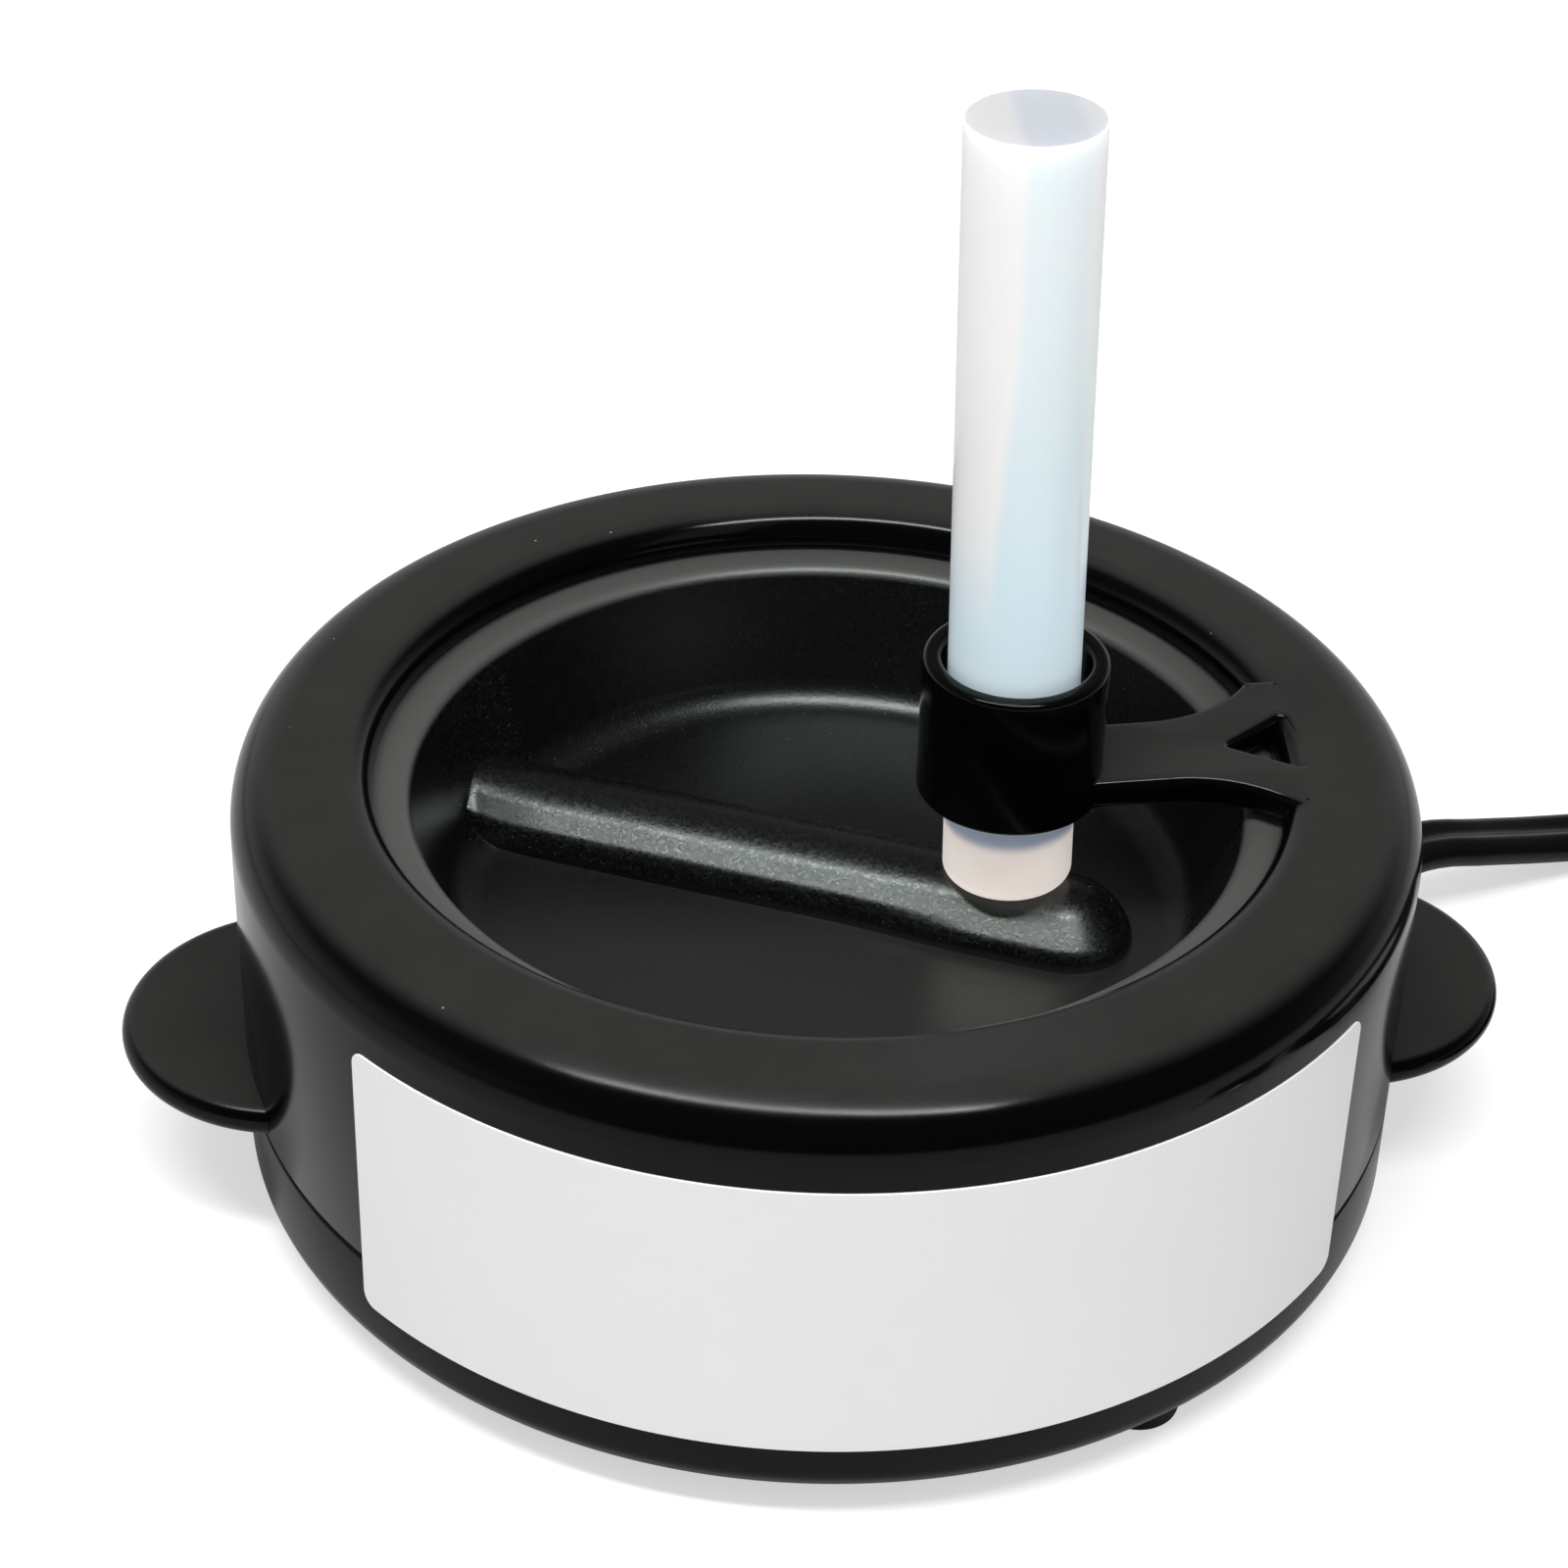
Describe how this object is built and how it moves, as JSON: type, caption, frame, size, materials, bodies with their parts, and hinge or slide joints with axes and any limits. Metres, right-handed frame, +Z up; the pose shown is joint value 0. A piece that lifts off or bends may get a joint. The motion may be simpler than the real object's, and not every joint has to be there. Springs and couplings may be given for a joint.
{
  "type": "floral hot glue pot",
  "caption": "Small round electric pot with a shallow non-stick pan, a heated ridge and a collar that feeds a glue stick onto it.",
  "frame": {"origin": "on the bench, under the middle of the round body", "axes": "+X from the middle towards the right finger tab, along the line through both tabs; +Y away from the labelled front; +Z up"},
  "size_m": [0.2367, 0.124, 0.0997],
  "materials": {
    "housing": "moulded black heat-resistant plastic, satin to glossy",
    "pan": "black textured non-stick coating on cast aluminium",
    "glue": "translucent milky hot-melt glue",
    "label": "blank off-white satin film",
    "ceramic": "grey heater ceramic",
    "electrode": "plain rolled sheet",
    "insulation_film": "amber high-temperature film",
    "steel": "zinc plated",
    "sleeve": "woven glass sleeve",
    "lead": "silicone insulated wire",
    "clamp": "moulded black plastic",
    "cord": "satin black flexible vinyl",
    "strain_relief": "satin black flexible vinyl",
    "plug": "satin black moulded vinyl",
    "tie": "woven hook-and-loop strap",
    "blade": "nickel plated brass",
    "foot": "black rubber"
  },
  "bodies": {
    "pot": {"upper_housing": "housing", "lower_housing": "housing", "glue_pan": "pan", "blank_label": "label", "heater_ceramics": "ceramic", "upper_electrode": "electrode", "lower_electrode": "electrode", "heater_insulation": "insulation_film", "pressure_bar": "electrode", "heater_clamp": "steel", "clamp_screws": "steel", "pan_washers": "insulation_film", "pan_screws": "steel", "thermal_fuse": "steel", "fuse_sleeve": "sleeve", "live_lead": "lead", "neutral_lead": "lead", "fuse_lead": "lead", "crimp_splices": "sleeve", "cord_clamp": "clamp", "cord_clamp_screws": "steel", "inner_cord": "cord", "housing_screws": "steel", "foot_front": "foot", "foot_rear": "foot", "foot_left": "foot", "strain_relief": "strain_relief", "power_cord": "cord", "cord_coil": "cord", "cord_end": "cord", "cord_tie": "tie", "plug_body": "plug", "plug_blades": "blade"},
    "glue_stick": {"glue_stick": "glue"}
  },
  "joints": [
    {"name": "glue_stick_slide", "type": "slide", "parent": "pot", "child": "glue_stick", "axis": [-0.0262, 0, 0.9997], "range_m": [0, 0.026]}
  ]
}
